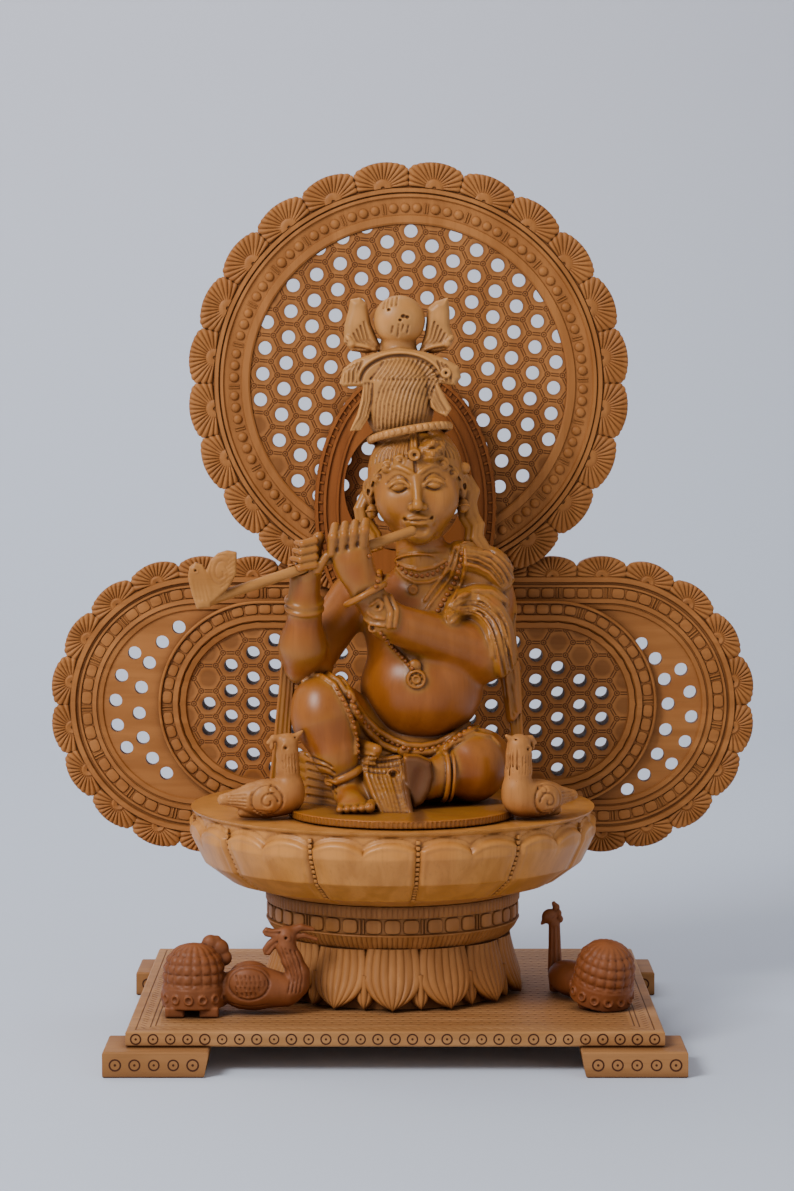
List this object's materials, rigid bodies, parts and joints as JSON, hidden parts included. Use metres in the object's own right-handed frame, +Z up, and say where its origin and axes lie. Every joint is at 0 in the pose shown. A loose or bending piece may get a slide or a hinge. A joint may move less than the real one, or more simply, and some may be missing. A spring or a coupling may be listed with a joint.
{
  "type": "krishna figure",
  "caption": "Carved wooden seated flute player on a lotus seat and petalled pedestal, before a pierced round disc and a wide pierced panel, with peacocks, on a footed board",
  "frame": {"origin": "On the ground, at the centre of the footprint of the bounding box", "axes": "+Z up, -Y towards the viewer that the figure faces, +X to that viewer's right"},
  "size_m": [0.2536, 0.164, 0.3026],
  "materials": {
    "board_wood": "dry, lightly waxed",
    "pedestal_wood": "waxed",
    "seat_wood": "polished",
    "panel_wood": "waxed",
    "figure_wood": "polished",
    "flute_wood": "polished",
    "bird_wood": "waxed"
  },
  "bodies": {
    "root": {"base_board": "board_wood", "foot_front_left": "board_wood", "foot_front_right": "board_wood", "foot_back_left": "board_wood", "foot_back_right": "board_wood", "lotus_pedestal": "pedestal_wood", "lotus_seat": "seat_wood", "jali_disc": "panel_wood", "lower_panel": "panel_wood", "inner_panel": "panel_wood", "halo_plate": "panel_wood", "krishna_figure": "figure_wood", "flute": "flute_wood", "seat_peacock_left": "seat_wood", "seat_peacock_right": "seat_wood", "board_peacock_left": "bird_wood", "board_peacock_right": "bird_wood"}
  },
  "joints": []
}
